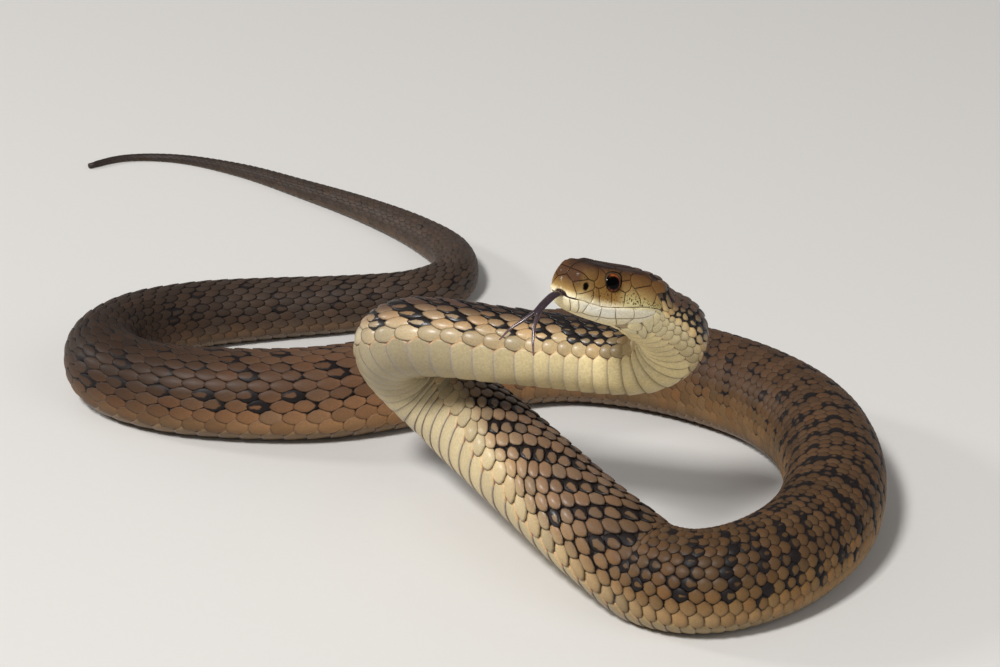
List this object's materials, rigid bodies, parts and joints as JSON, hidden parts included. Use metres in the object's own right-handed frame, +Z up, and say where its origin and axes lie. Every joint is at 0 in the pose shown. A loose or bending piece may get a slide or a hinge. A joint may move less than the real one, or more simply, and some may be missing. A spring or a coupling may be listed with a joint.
{
  "type": "tiger snake",
  "caption": "Tiger snake at rest in open loops on the floor, neck raised in an S, head level and forked tongue out; still life-size museum model.",
  "frame": {"origin": "on the floor, under the middle of the model's bounding box", "axes": "+Y along the longest spread of the loops, from the raised head to the tail tip; +Z up; the head looks towards -X and -Y"},
  "size_m": [0.2297, 0.3088, 0.0899],
  "materials": {
    "body_skin": "satin",
    "neck_skin": "satin",
    "head_skin": "satin",
    "jaw_skin": "satin",
    "eye": "gloss",
    "tongue": "satin"
  },
  "bodies": {
    "root": {"neck_nape": "neck_skin", "neck_head_bend": "neck_skin", "neck_run": "neck_skin", "neck_left_bend": "neck_skin", "torso_column_top": "neck_skin", "torso_column_foot": "neck_skin", "torso_front_coil": "body_skin", "torso_right_coil": "body_skin", "torso_back_coil": "body_skin", "torso_long_run": "body_skin", "torso_front_left": "body_skin", "torso_left_bend": "body_skin", "torso_back_left": "body_skin", "torso_vent": "body_skin", "tail_bend": "body_skin", "tail_middle": "body_skin", "tail_tip": "body_skin", "head": "head_skin", "lower_jaw": "jaw_skin", "eye_left": "eye", "eye_right": "eye", "tongue": "tongue"}
  },
  "joints": []
}
